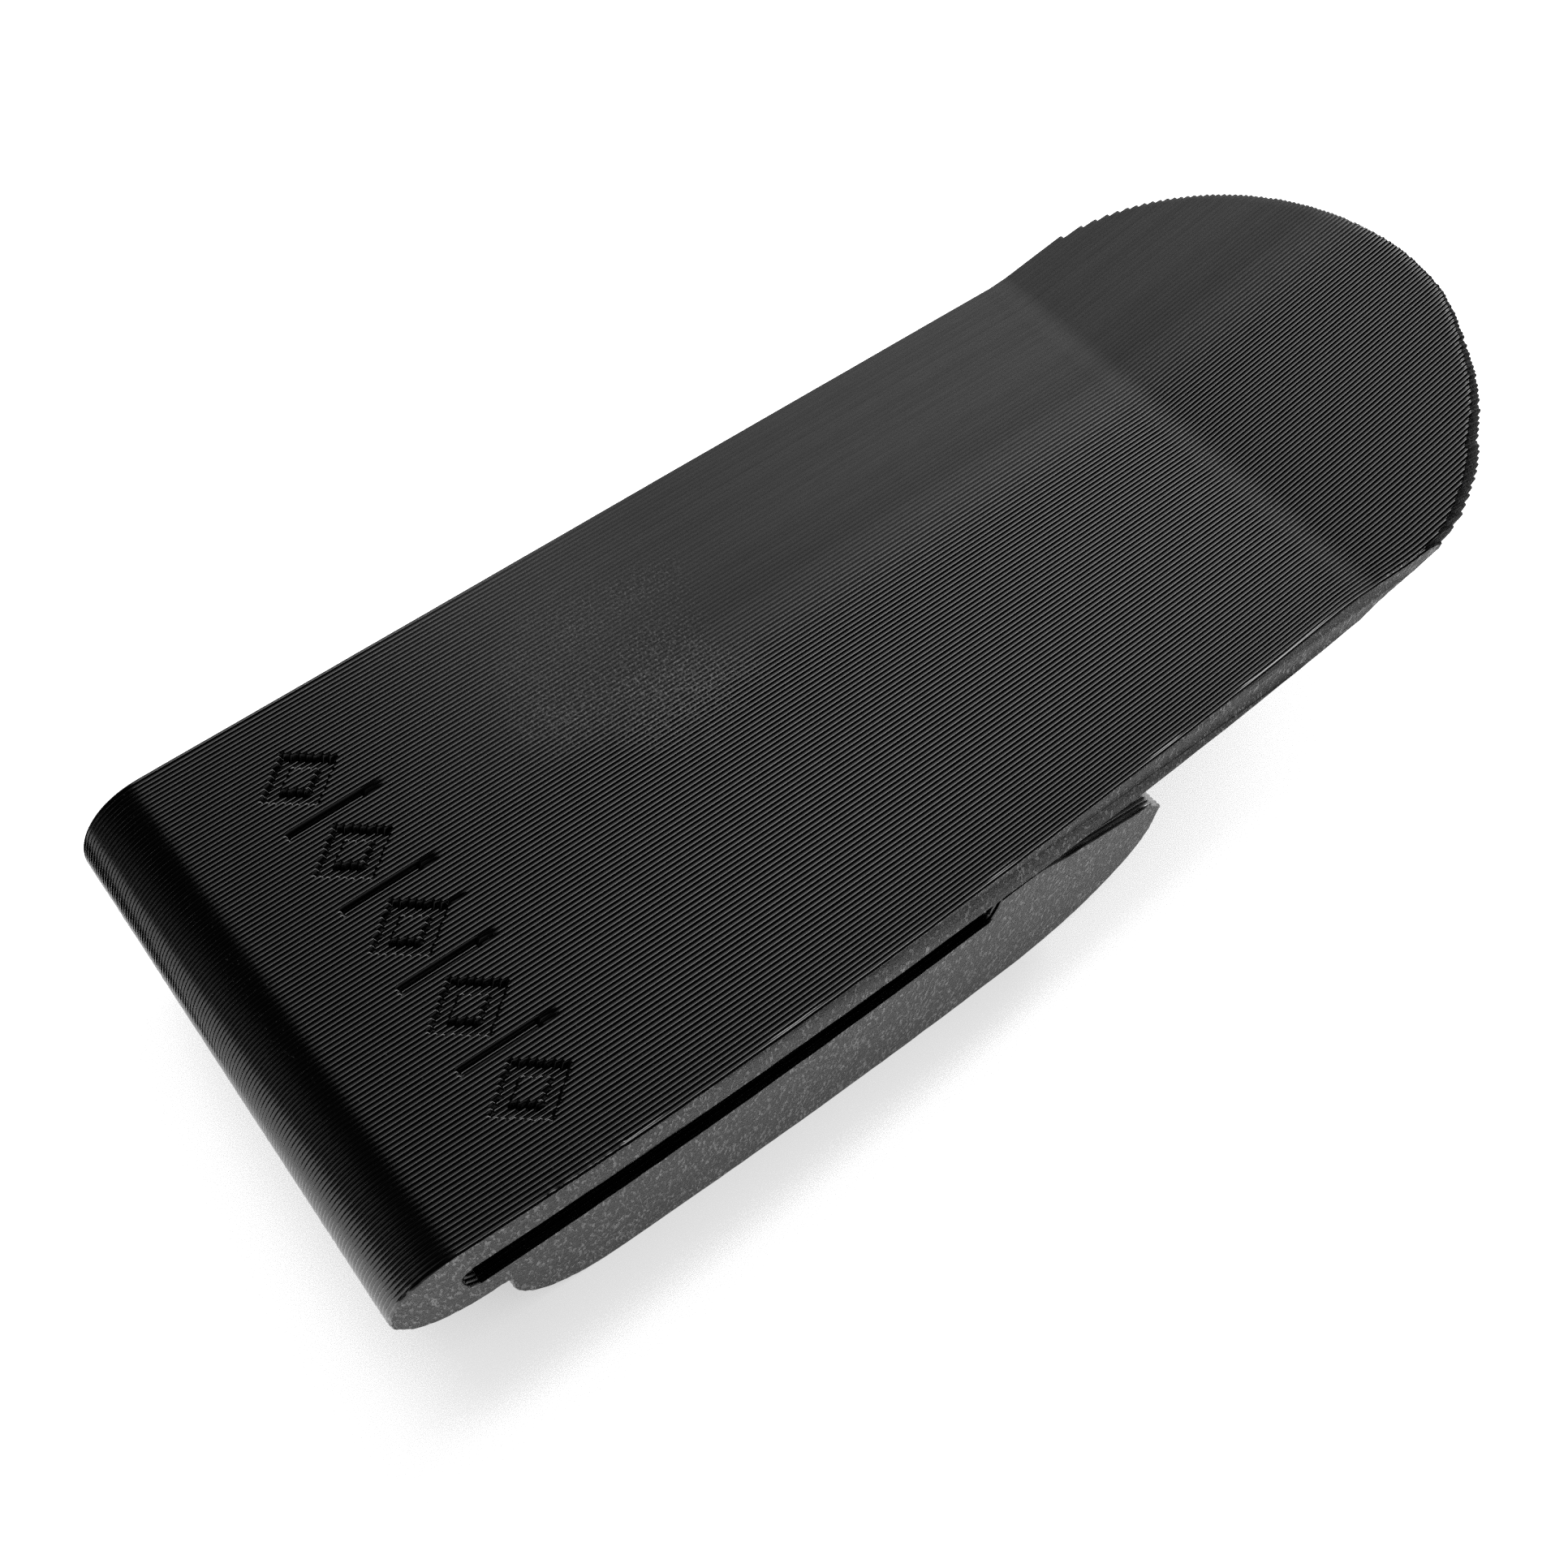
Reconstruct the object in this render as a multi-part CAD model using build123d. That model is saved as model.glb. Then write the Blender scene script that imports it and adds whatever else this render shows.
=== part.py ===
from build123d import *
import math
import os

# A spring clip printed in one piece, lying on the flat underside of its arm.
# A broad front plate runs from a rounded bend to a raised, half-round tip.
# The bend turns back under the plate into a thick arm, and the narrow slit between
# the two holds what is clipped. The clip is cut here into the sections that flex,
# grip, guide and rest, each a solid of its own, and they meet face to face.
#
# Millimetres. +X runs from the bend to the tip, +Y across the width, +Z up.
# The side profile is drawn with x = 0 where the bend ends and the flat plate starts,
# and z = 0 on the arm's underside. The origin is under the middle of the whole clip.

# Front plate
WIDTH = 24.6                # across the clip: 123 printed layers of 0.2
DEPTH = 12.25               # from the arm's underside to the plate's top
PLATE_LENGTH = 46.4         # from the bend to the crease
PLATE_ROOT_THICK = 2.5      # at the bend
PLATE_THICK = 1.75          # from the grip to the crease

# Raised tip
TIP_STRAIGHT = 2.75         # from the crease to where the half-round end starts
TIP_ANGLE = 11.7            # degrees above the plate
TIP_EDGE_THICK = 0.65       # at the very end

# Bend and slit
BEND_RADIUS = 3.35          # outside of the half-round bend
SLIT_ROOT_GAP = 2.2         # height of the slit at the bend
SLIT_END_GAP = 1.65         # height of the slit beside the grip
SLIT_NOTCH = 0.4            # how far the slit reaches into the bend

# Arm
GRIP_START = 24.0           # from the bend to the foot of the grip's step
GRIP_STEP = 0.4             # how far the step leans forward
GRIP_LAND = 2.0             # length of the flat that grips
GRIP_GAP = 0.15             # printed gap between the grip and the plate
JAW_END = 33.6              # where the lead-in ramp ends
RAMP_DROP = 2.15            # how far the ramp falls from the grip
NOSE_OVERHANG = 1.0         # from the ramp's end to the front of the nose
NOSE_ROUND = 1.3            # height of the chamfer-like round under the ramp's end
BELLY_START = 0.9           # step from the bend to the belly
HEEL_RISE = 1.4             # straight part of the belly's back, above its round
NOSE_LENGTH = 7.6           # length of the long round at the front

# The side that was printed on the bed curled up at its ends as it cooled
BED_BOW_RADIUS = 388.0      # of that side, seen from above
BED_BOW_MIDDLE = 30.5       # from the bend to where it is widest

# Engraved row of diamonds and bars near the bend
ENGRAVE_DEPTH = 0.4
ENGRAVE_START = 3.3         # from the bend
ENGRAVE_LENGTH = 3.4        # along the clip
ENGRAVE_PITCH = 4.2         # from one diamond to the next, across the clip
DIAMOND_COUNT = 5
DIAMOND_WIDTH = 2.9         # across the clip
ENGRAVE_STROKE = 0.55       # width of an engraved line

# What follows from those sizes
TIP_RADIUS = WIDTH / 2
TIP_LENGTH = TIP_STRAIGHT + TIP_RADIUS
SLOPE = math.radians(TIP_ANGLE)
TIP_END_X = PLATE_LENGTH + TIP_LENGTH * math.cos(SLOPE)
TIP_END_Z = DEPTH + TIP_LENGTH * math.sin(SLOPE)
TIP_UNDER_X = TIP_END_X + TIP_EDGE_THICK * math.sin(SLOPE)
TIP_UNDER_Z = TIP_END_Z - TIP_EDGE_THICK * math.cos(SLOPE)
BEND_BOTTOM = DEPTH - 2 * BEND_RADIUS
PLATE_ROOT_UNDER = DEPTH - PLATE_ROOT_THICK
PLATE_UNDER = DEPTH - PLATE_THICK
SLIT_FLOOR_ROOT = PLATE_ROOT_UNDER - SLIT_ROOT_GAP
SLIT_FLOOR_END = PLATE_UNDER - SLIT_END_GAP
GRIP_TOP = PLATE_UNDER - GRIP_GAP
GRIP_CREST = GRIP_START + GRIP_STEP
GRIP_END = GRIP_CREST + GRIP_LAND
RAMP_END_Z = GRIP_TOP - RAMP_DROP
NOSE_FRONT = JAW_END + NOSE_OVERHANG
HEEL_RADIUS = BEND_BOTTOM - HEEL_RISE
NOSE_HEIGHT = BEND_BOTTOM
BELLY_FLAT_START = BELLY_START + HEEL_RADIUS
BELLY_FLAT_END = NOSE_FRONT - NOSE_LENGTH
MIDDLE_X = (TIP_UNDER_X - BEND_RADIUS) / 2
ENGRAVE_MIDDLE = ENGRAVE_START + ENGRAVE_LENGTH / 2


def across(*edges):
    """A side outline, drawn in x and z, carried across the full width."""
    face = Plane.XZ * make_face(edges)
    return Pos(-MIDDLE_X, 0, 0) * extrude(face, WIDTH / 2, both=True)


def outline(*corners):
    """A closed side outline with straight edges, carried across the full width."""
    return across(*Polyline(*corners, close=True).edges())


def diamond(length, width):
    """A filled diamond about the origin."""
    corners = [(length / 2, 0), (0, width / 2), (-length / 2, 0), (0, -width / 2)]
    return make_face(Polyline(*corners, close=True))


def engraving():
    """The row of outlined diamonds with a bar between each two, as one cutter."""
    inner_share = 1 - 2 * ENGRAVE_STROKE * math.hypot(1 / ENGRAVE_LENGTH, 1 / DIAMOND_WIDTH)
    outer = diamond(ENGRAVE_LENGTH, DIAMOND_WIDTH)
    mark = outer - diamond(ENGRAVE_LENGTH * inner_share, DIAMOND_WIDTH * inner_share)
    bar = Rectangle(ENGRAVE_LENGTH, ENGRAVE_STROKE)
    first = -ENGRAVE_PITCH * (DIAMOND_COUNT - 1) / 2
    row = [Pos(0, first + ENGRAVE_PITCH * i) * mark for i in range(DIAMOND_COUNT)]
    row += [Pos(0, first + ENGRAVE_PITCH * (i + 0.5)) * bar for i in range(DIAMOND_COUNT - 1)]
    cutter = extrude(Sketch() + row, ENGRAVE_DEPTH + 1)
    return Pos(ENGRAVE_MIDDLE - MIDDLE_X, 0, DEPTH - ENGRAVE_DEPTH) * cutter


def front_plate():
    """The broad plate, thickest at the bend, with the engraved row."""
    plate = outline(
        (0, PLATE_ROOT_UNDER),
        (0, DEPTH),
        (PLATE_LENGTH, DEPTH),
        (PLATE_LENGTH, PLATE_UNDER),
        (GRIP_CREST, PLATE_UNDER),
    )
    return plate - engraving()


def raised_tip():
    """The lifted end: it thins towards a half-round edge as wide as the plate."""
    wedge = outline(
        (PLATE_LENGTH, PLATE_UNDER),
        (PLATE_LENGTH, DEPTH),
        (TIP_END_X, TIP_END_Z),
        (TIP_UNDER_X, TIP_UNDER_Z),
    )
    reach = PLATE_THICK * 2
    strip = Pos((TIP_STRAIGHT - reach) / 2, 0) * Rectangle(TIP_STRAIGHT + reach, WIDTH)
    end = Pos(TIP_STRAIGHT, 0) * Circle(TIP_RADIUS)
    plan = extrude(strip + end, reach, both=True)
    place = Pos(PLATE_LENGTH - MIDDLE_X, 0, DEPTH) * Rot(0, -TIP_ANGLE, 0)
    return wedge & (place * plan)


def spring_bend():
    """The half-round that joins plate and arm, with the blind end of the slit."""
    rim = CenterArc((0, DEPTH - BEND_RADIUS), BEND_RADIUS, 90, 180)
    back = Line((0, BEND_BOTTOM), (0, DEPTH))
    half = across(rim, back)
    notch = outline(
        (0, SLIT_FLOOR_ROOT),
        (0, PLATE_ROOT_UNDER),
        (-SLIT_NOTCH, PLATE_ROOT_UNDER - SLIT_NOTCH),
        (-SLIT_NOTCH, SLIT_FLOOR_ROOT + SLIT_NOTCH),
    )
    return half - notch


def arm_leaf():
    """The springy strip under the slit, from the bend to the grip."""
    return outline(
        (0, BEND_BOTTOM),
        (0, SLIT_FLOOR_ROOT),
        (GRIP_START, SLIT_FLOOR_END),
        (GRIP_START, BEND_BOTTOM),
    )


def grip_jaw():
    """The step and flat that grip, with the ramp that leads in from the mouth."""
    return outline(
        (GRIP_START, BEND_BOTTOM),
        (GRIP_START, SLIT_FLOOR_END),
        (GRIP_CREST, GRIP_TOP),
        (GRIP_END, GRIP_TOP),
        (JAW_END, RAMP_END_Z),
        (NOSE_FRONT, RAMP_END_Z - NOSE_ROUND),
        (NOSE_FRONT, BEND_BOTTOM),
    )


def belly_heel():
    """The rounded back of the thick block under the leaf."""
    corner = CenterArc((BELLY_FLAT_START, HEEL_RADIUS), HEEL_RADIUS, 180, 90)
    rise = Line((BELLY_START, HEEL_RADIUS), (BELLY_START, BEND_BOTTOM))
    top = Line((BELLY_START, BEND_BOTTOM), (BELLY_FLAT_START, BEND_BOTTOM))
    front = Line((BELLY_FLAT_START, BEND_BOTTOM), (BELLY_FLAT_START, 0))
    return across(corner, rise, top, front)


def belly_pad():
    """The long flat-bottomed block that the clip lies on."""
    return outline(
        (BELLY_FLAT_START, 0),
        (BELLY_FLAT_START, BEND_BOTTOM),
        (BELLY_FLAT_END, BEND_BOTTOM),
        (BELLY_FLAT_END, 0),
    )


def belly_nose():
    """The long round at the front of the block, under the jaw."""
    centre = (BELLY_FLAT_END, NOSE_HEIGHT)
    curve = EllipticalCenterArc(centre, NOSE_LENGTH, NOSE_HEIGHT, start_angle=270, arc_size=90)
    top = Line((NOSE_FRONT, BEND_BOTTOM), (BELLY_FLAT_END, BEND_BOTTOM))
    back = Line((BELLY_FLAT_END, BEND_BOTTOM), (BELLY_FLAT_END, 0))
    return across(curve, top, back)


def bed_side():
    """All that lies on the clip's side of its bowed bed face."""
    centre = Pos(BED_BOW_MIDDLE - MIDDLE_X, BED_BOW_RADIUS - WIDTH / 2, DEPTH / 2)
    return centre * Cylinder(BED_BOW_RADIUS, DEPTH * 4)


PIECES = {
    "front_plate": front_plate,
    "raised_tip": raised_tip,
    "spring_bend": spring_bend,
    "arm_leaf": arm_leaf,
    "grip_jaw": grip_jaw,
    "belly_heel": belly_heel,
    "belly_pad": belly_pad,
    "belly_nose": belly_nose,
}

os.makedirs("parts", exist_ok=True)
bowed = bed_side()
for name, make in PIECES.items():
    export_step(make() & bowed, f"parts/{name}.step")

print("middle of the clip from the bend:", round(MIDDLE_X, 4))
print("pivot height at the bend's centre:", DEPTH - BEND_RADIUS)
print("overall length:", round(TIP_UNDER_X + BEND_RADIUS, 4))
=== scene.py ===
# %% [markdown]
# # A spring clip, printed layer by layer
# The clip is one strip of black plastic, printed lying on its side. The printer drew the
# clip's side outline 123 times, one 0.2 mm layer on another, across the clip's width.
# So every face that runs across the layers carries fine ridges along the clip, and only
# the side that lay on the printer's bed and the last layer are free of them.
# We build it the way the printer did: an outline, repeated for each layer.

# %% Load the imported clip
import math

import bpy
import numpy as np
from mathutils import Matrix, Vector


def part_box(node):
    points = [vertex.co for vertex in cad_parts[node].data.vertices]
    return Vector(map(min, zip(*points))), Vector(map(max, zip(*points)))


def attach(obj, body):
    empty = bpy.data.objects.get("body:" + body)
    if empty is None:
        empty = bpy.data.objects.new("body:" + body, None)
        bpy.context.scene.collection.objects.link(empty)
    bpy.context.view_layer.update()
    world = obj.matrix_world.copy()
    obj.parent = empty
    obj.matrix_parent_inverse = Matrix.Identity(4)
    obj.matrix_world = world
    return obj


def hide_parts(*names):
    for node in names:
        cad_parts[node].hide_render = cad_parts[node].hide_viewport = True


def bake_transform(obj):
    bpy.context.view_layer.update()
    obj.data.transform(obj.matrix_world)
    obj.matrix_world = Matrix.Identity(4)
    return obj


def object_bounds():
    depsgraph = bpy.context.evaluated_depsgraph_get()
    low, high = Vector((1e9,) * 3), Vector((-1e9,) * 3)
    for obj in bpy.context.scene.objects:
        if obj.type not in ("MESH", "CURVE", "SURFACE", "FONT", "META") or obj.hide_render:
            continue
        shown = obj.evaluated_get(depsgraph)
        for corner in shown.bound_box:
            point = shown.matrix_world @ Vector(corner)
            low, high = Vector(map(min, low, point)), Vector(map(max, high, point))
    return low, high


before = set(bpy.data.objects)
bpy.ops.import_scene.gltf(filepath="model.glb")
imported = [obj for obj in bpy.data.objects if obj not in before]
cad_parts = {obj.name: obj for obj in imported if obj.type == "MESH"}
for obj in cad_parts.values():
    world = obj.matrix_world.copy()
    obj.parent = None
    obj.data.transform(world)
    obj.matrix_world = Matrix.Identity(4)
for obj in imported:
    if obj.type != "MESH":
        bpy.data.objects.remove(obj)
CAD_BOX = [list(map(float, corner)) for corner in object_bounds()]

# %% [markdown]
# ## Sizes
# The engineering model already has the right size, so the outline takes its places from the
# boxes of its nodes. We work in millimetres, with x = 0 where the bend meets the plate.

# %% Places from the model's boxes
MM = 0.001


def reach(node):
    """A node's box in millimetres: x from, x to, z from, z to, in the model's frame."""
    low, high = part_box(node)
    return low.x / MM, high.x / MM, low.z / MM, high.z / MM


MIDDLE = -reach("front_plate")[0]
WIDTH = (CAD_BOX[1][1] - CAD_BOX[0][1]) / MM
CREASE_X = reach("front_plate")[1] + MIDDLE
PLATE_TOP = reach("front_plate")[3]
PLATE_ROOT_UNDER = reach("front_plate")[2]
PLATE_UNDER = reach("raised_tip")[2]
ARM_UNDER = reach("arm_leaf")[2]
BEND_RADIUS = (PLATE_TOP - ARM_UNDER) / 2
BEND_CENTRE = PLATE_TOP - BEND_RADIUS
STEP_X = reach("grip_jaw")[0] + MIDDLE
STEP_FOOT = reach("arm_leaf")[3]
GRIP_TOP = reach("grip_jaw")[3]
NOSE_X = reach("grip_jaw")[1] + MIDDLE
HEEL_X = reach("belly_heel")[0] + MIDDLE
PAD_START = reach("belly_pad")[0] + MIDDLE
PAD_END = reach("belly_pad")[1] + MIDDLE
print(f"plate {CREASE_X:.2f} long, {WIDTH:.2f} wide, top at {PLATE_TOP:.2f} mm")

# %% [markdown]
# A box tells where a piece ends, but not how its outline runs inside it. So the step of the
# grip, the ramp, the slit's blind end and the slope of the tip need values of their own.

# %% Shapes inside the boxes
SLIT_FLOOR_ROOT = 7.55      # the arm's top at the bend
SLIT_NOTCH = 0.4            # how far the slit reaches into the bend
STEP_LEAN = 0.4             # how far the grip's step leans forward
GRIP_LAND = 2.0             # the flat that grips
RAMP_RUN = 7.2              # the ramp that leads in from the mouth, along the clip
RAMP_DROP = 2.15            # and how far it falls
NOSE_ROUND = 1.3            # height of the round under the ramp
TIP_STRAIGHT = 2.75         # from the crease to where the round end starts
TIP_ANGLE = math.radians(11.7)
TIP_EDGE = 0.65             # the tip's thickness at its very end
TIP_REACH = TIP_STRAIGHT + WIDTH / 2
TIP_ALONG = Vector((math.cos(TIP_ANGLE), math.sin(TIP_ANGLE)))
TIP_UP = Vector((-math.sin(TIP_ANGLE), math.cos(TIP_ANGLE)))
print(f"tip {TIP_REACH:.2f} mm from crease to end")

# %% [markdown]
# ## The layers
# A printed layer bulges in its middle and pinches in where it meets its neighbours.
# Each layer gets four rings of points: one in the pinch and three over the bulge. The ridge
# tops lie on the model's surface and the pinches lie inside it, so the size stays true.
# A bump in the material would be cheaper, but it would not show at the outline's edge.

# %% The rings of points of all layers
LAYER_HEIGHT = 0.2
LAYERS = round(WIDTH / LAYER_HEIGHT)
RING_STEPS = np.array([0.0, 0.25, 0.5, 0.75])
RIDGE_DEPTH = 0.055
ring_layer = np.append(np.repeat(np.arange(LAYERS), len(RING_STEPS)), LAYERS - 1)
ring_step = np.append(np.tile(RING_STEPS, LAYERS), 1.0)
ring_share = (ring_layer + ring_step) / LAYERS
ring_pinch = RIDGE_DEPTH * (1 - np.sin(math.pi * ring_step))
in_pinch = ring_step == 0
print(LAYERS, "layers,", len(ring_layer), "rings")

# %% [markdown]
# A nozzle never draws two layers quite alike, so each one is set back a little by chance,
# and wanders slowly along its length. One seeded generator draws all of it, so the clip
# comes out the same each time.

# %% The chance in each layer
SETBACK_SPREAD = 0.004
WANDER_LENGTHS = np.array([2.3, 4.1, 7.9, 15.7])
WANDER_SHARE = np.array([0.001, 0.0014, 0.002, 0.002])
chance = np.random.default_rng(123)
setback = np.abs(chance.normal(0, SETBACK_SPREAD, LAYERS))
wander_phase = chance.uniform(0, 2 * math.pi, (LAYERS, len(WANDER_LENGTHS)))
print(f"layers set back {setback.mean():.4f} mm on average, {setback.max():.4f} at most")


def layer_setback(layer, x):
    """How far each point of a layer lies inside the model's surface, by chance."""
    waves = np.sin(2 * math.pi * x[..., None] / WANDER_LENGTHS + wander_phase[layer][:, None, :])
    wander = (1 + waves) @ WANDER_SHARE
    return setback[layer][:, None] + wander


# %% [markdown]
# The first layers spread unevenly where they were pressed on the bed, so the edges of that
# side are a little ragged. The last layers, far from the bed, had time to melt together and
# came out smoother, least of all near the bend. Two small functions hold this.

# %% Ragged first layers, smoother last layers
RAGGED_DEPTH = 0.075
RAGGED_LAYERS = 4
RAGGED_FADE = 0.9
SMOOTHER_FROM, SMOOTHER_TO = 0.52, 0.82     # shares of the width
SMOOTHER_START_X, SMOOTHER_FULL_X = 6, 34
SMOOTHER_LOSS = 0.72


def bed_raggedness(shape):
    """How far the edges of the first layers stand back, by chance."""
    fade = np.exp(-ring_layer / RAGGED_FADE)[:, None]
    first_layers = (ring_layer < RAGGED_LAYERS)[:, None]
    return RAGGED_DEPTH * fade * chance.uniform(0, 1, (1, shape[1])) * first_layers


def soft_step(value, low, high):
    """0 below low, 1 above high, with a soft step between."""
    share = np.clip((value - low) / (high - low), 0, 1)
    return share * share * (3 - 2 * share)


def ridge_strength(x, share):
    """1 where the ridges are full, less where the last layers melted together."""
    smoother = soft_step(share, SMOOTHER_FROM, SMOOTHER_TO)
    smoother = smoother * soft_step(x, SMOOTHER_START_X, SMOOTHER_FULL_X)
    return 1 - SMOOTHER_LOSS * smoother


print("ridges left on the last layer:", 1 - SMOOTHER_LOSS)

# %% [markdown]
# Warm plastic shrinks as it cools. The ends of the side that lay on the bed curled up, and
# the plate's rim pulled in a little more, so that side is not flat. We bend it by moving
# the first layers inwards, less and less towards the last layer.

# %% Where each layer lies across the clip
BOW_RADIUS = 388.0
BOW_MIDDLE = 30.5
BOW_SPREAD = 1.67           # how fast the bow fades towards the last layer
TIP_BOW_LOSS = 0.35         # the tip is thin and curled less
TIP_BOW_FROM, TIP_BOW_TO = 44, 54
RIM_LIFT = 0.45
RIM_LIFT_FROM, RIM_LIFT_TO = 2.0, 34.0
RIM_LIFT_ENDS, RIM_LIFT_GONE = 45, 50
RIM_SPREAD = 10             # the rim's pull stays near the bed side


def warped_y(x, z, share):
    """Where a point of a layer lies across the clip."""
    flat = WIDTH * (share - 0.5)
    tip_loss = 1 - TIP_BOW_LOSS * soft_step(x, TIP_BOW_FROM, TIP_BOW_TO)
    bow = (x - BOW_MIDDLE) ** 2 / (2 * BOW_RADIUS) * tip_loss
    lift = RIM_LIFT * soft_step(x, RIM_LIFT_FROM, RIM_LIFT_TO)
    lift = lift * (1 - soft_step(x, RIM_LIFT_ENDS, RIM_LIFT_GONE))
    lean = np.clip((z - PLATE_UNDER) / (PLATE_TOP - PLATE_UNDER), 0, 1)
    return flat + bow * (1 - share) ** BOW_SPREAD + lift * lean * (1 - share) ** RIM_SPREAD


print(f"bed side curled {BOW_MIDDLE ** 2 / (2 * BOW_RADIUS):.2f} mm at the bend")

# %% [markdown]
# ## Drawing an outline
# An outline is a chain of points in x and z. Corners come from a nozzle 0.4 mm wide, so they
# are never sharp: each gets a small round. Straight stretches need points too, because the
# layers wander along them.

# %% Rounded chains of points
CORNER_POINTS = 5


def straight(a, b, spacing):
    """Points from a up to, but not with, b."""
    a, b = np.array(a, float), np.array(b, float)
    count = max(1, round(np.linalg.norm(b - a) / spacing))
    return a + (b - a) * np.arange(count)[:, None] / count


def rounded(corners, spacing):
    """A chain through (x, z, radius) corners, with each inner corner rounded."""
    spots = [np.array(c[:2], float) for c in corners]
    chain = []
    start = spots[0]
    for before, here, after, corner in zip(spots, spots[1:], spots[2:], corners[1:]):
        back = (before - here) / np.linalg.norm(before - here)
        ahead = (after - here) / np.linalg.norm(after - here)
        half = math.acos(np.clip(back @ ahead, -1, 1)) / 2
        cut = corner[2] / math.tan(half)
        first, last = here + back * cut, here + ahead * cut
        chain.append(straight(start, first, spacing))
        steps = np.linspace(0, 1, CORNER_POINTS + 1)[:-1, None]
        chain.append((1 - steps) ** 2 * first + 2 * steps * (1 - steps) * here + steps**2 * last)
        start = last
    chain.append(straight(start, spots[-1], spacing))
    chain.append(spots[-1][None])
    return np.concatenate(chain)


def turned(centre, radius_x, radius_z, from_angle, to_angle, count):
    """Points on a stretch of an ellipse, angles in degrees from +x towards +z."""
    angle = np.radians(np.linspace(from_angle, to_angle, count))
    x = centre[0] + radius_x * np.cos(angle)
    z = centre[1] + radius_z * np.sin(angle)
    return np.stack([x, z], 1)


print("points in a rounded corner:", CORNER_POINTS)

# %% [markdown]
# ## From outlines to a printed skin
# Every layer's outline has the same number of points, so neighbouring rings join into a
# sheet of four-sided faces. Its two ends are closed with the bed face and the last layer.
# Two numbers are kept on each point for the materials: how high above the bed it was
# printed, and how far along the clip it lies.

# %% The mesh through the rings
RIDGED, BED_SIDE, LAST_LAYER, LOOSE_END = range(4)


def skin(name, points, build, along, seam_columns, loose_ends):
    """The mesh object through rings of points, with its two ends closed."""
    rings, count = build.shape
    grid = np.arange(rings * count).reshape(rings, count)
    right = np.roll(grid, -1, 1)
    quads = np.stack([grid[:-1], right[:-1], right[1:], grid[1:]], -1).reshape(-1, 4)
    faces = quads.tolist() + [grid[0][::-1].tolist(), grid[-1].tolist()]
    mesh = bpy.data.meshes.new(name)
    mesh.from_pydata(points.reshape(-1, 3).tolist(), [], faces)
    for label, values in (("build_height", build), ("along_clip", along)):
        store = mesh.attributes.new(label, "FLOAT", "POINT")
        store.data.foreach_set("value", np.ascontiguousarray(values, np.float32).ravel())
    finish_of_face = np.full((rings - 1, count), RIDGED, np.int32)
    if loose_ends is not None:
        first, last, layers = loose_ends
        finish_of_face[: layers * len(RING_STEPS), first:last] = LOOSE_END
    finish_of_face = np.append(finish_of_face.ravel(), [BED_SIDE, LAST_LAYER])
    mesh.polygons.foreach_set("material_index", finish_of_face)
    mesh.polygons.foreach_set("use_smooth", np.ones(len(faces), bool))
    keep_edges_crisp(mesh, rings, count, seam_columns)
    mesh.validate()
    mesh.update()
    piece = bpy.data.objects.new(name, mesh)
    bpy.context.scene.collection.objects.link(piece)
    print(f"{name}: {rings} rings of {count} points, {len(faces)} faces")
    return piece


# %% [markdown]
# Smooth shading rounds every edge off, and a pinch between two layers is a sharp valley.
# So we mark as sharp the pinches, the rims of the two closed ends and the seams.

# %% Sharp edges
def keep_edges_crisp(mesh, rings, count, seam_columns):
    """Mark the edges of the closed ends, the seams and the pinches as sharp."""
    ends = np.empty(len(mesh.edges) * 2, np.int32)
    mesh.edges.foreach_get("vertices", ends)
    ends = ends.reshape(-1, 2)
    ring, column = ends // count, ends % count
    same_ring = ring[:, 0] == ring[:, 1]
    same_column = column[:, 0] == column[:, 1]
    on_end = same_ring & np.isin(ring[:, 0], (0, rings - 1))
    on_seam = same_column & np.isin(column[:, 0], sorted(i % count for i in seam_columns))
    in_valley = same_ring & in_pinch[ring[:, 0]]
    mesh.edges.foreach_set("use_edge_sharp", on_end | on_seam | in_valley)


# %% [markdown]
# A piece is drawn as one or more stretches that follow each other round its outline. Each
# point moves inwards by its pinch and its chance. Points on a seam stay where they are, so
# that two pieces that meet there share them exactly.

# %% A printed piece from its stretches
def outward(chain):
    """The direction out of the plastic at each point of outlines that run clockwise."""
    along = np.empty_like(chain)
    along[:, 1:-1] = chain[:, 2:] - chain[:, :-2]
    along[:, 0] = chain[:, 1] - chain[:, 0]
    along[:, -1] = chain[:, -1] - chain[:, -2]
    out = np.stack([-along[..., 1], along[..., 0]], -1)
    return out / np.linalg.norm(out, axis=-1, keepdims=True)


def print_piece(name, stretches, depth=None, loose_ends=None):
    """A closed printed piece. Each stretch is a chain for all layers, or one per layer."""
    chains = [np.broadcast_to(stretch, (LAYERS,) + stretch.shape[-2:]) for stretch in stretches]
    starts = np.cumsum([0] + [chain.shape[1] for chain in chains[:-1]])
    outline = np.concatenate(chains, 1)[ring_layer]
    out = np.concatenate([outward(chain) for chain in chains], 1)[ring_layer]
    pinch = ring_pinch[:, None] * ridge_strength(outline[..., 0], ring_share[:, None])
    inset = layer_setback(ring_layer, outline[..., 0]) + pinch + bed_raggedness(outline.shape)
    if depth is not None:
        inset = inset + depth(outline)
    x = outline[..., 0] - out[..., 0] * inset
    z = outline[..., 1] - out[..., 1] * inset
    seam_columns = {int(i) for start in starts for i in (start, start - 1)}
    for column in seam_columns:
        x[:, column] = outline[:, column, 0]
    y = warped_y(outline[..., 0], outline[..., 1], ring_share[:, None])
    points = np.stack([(x - MIDDLE) * MM, y * MM, z * MM], -1)
    height = np.broadcast_to(ring_share[:, None] * WIDTH, x.shape)
    return skin(name, points, height, x, seam_columns, loose_ends)


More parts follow.
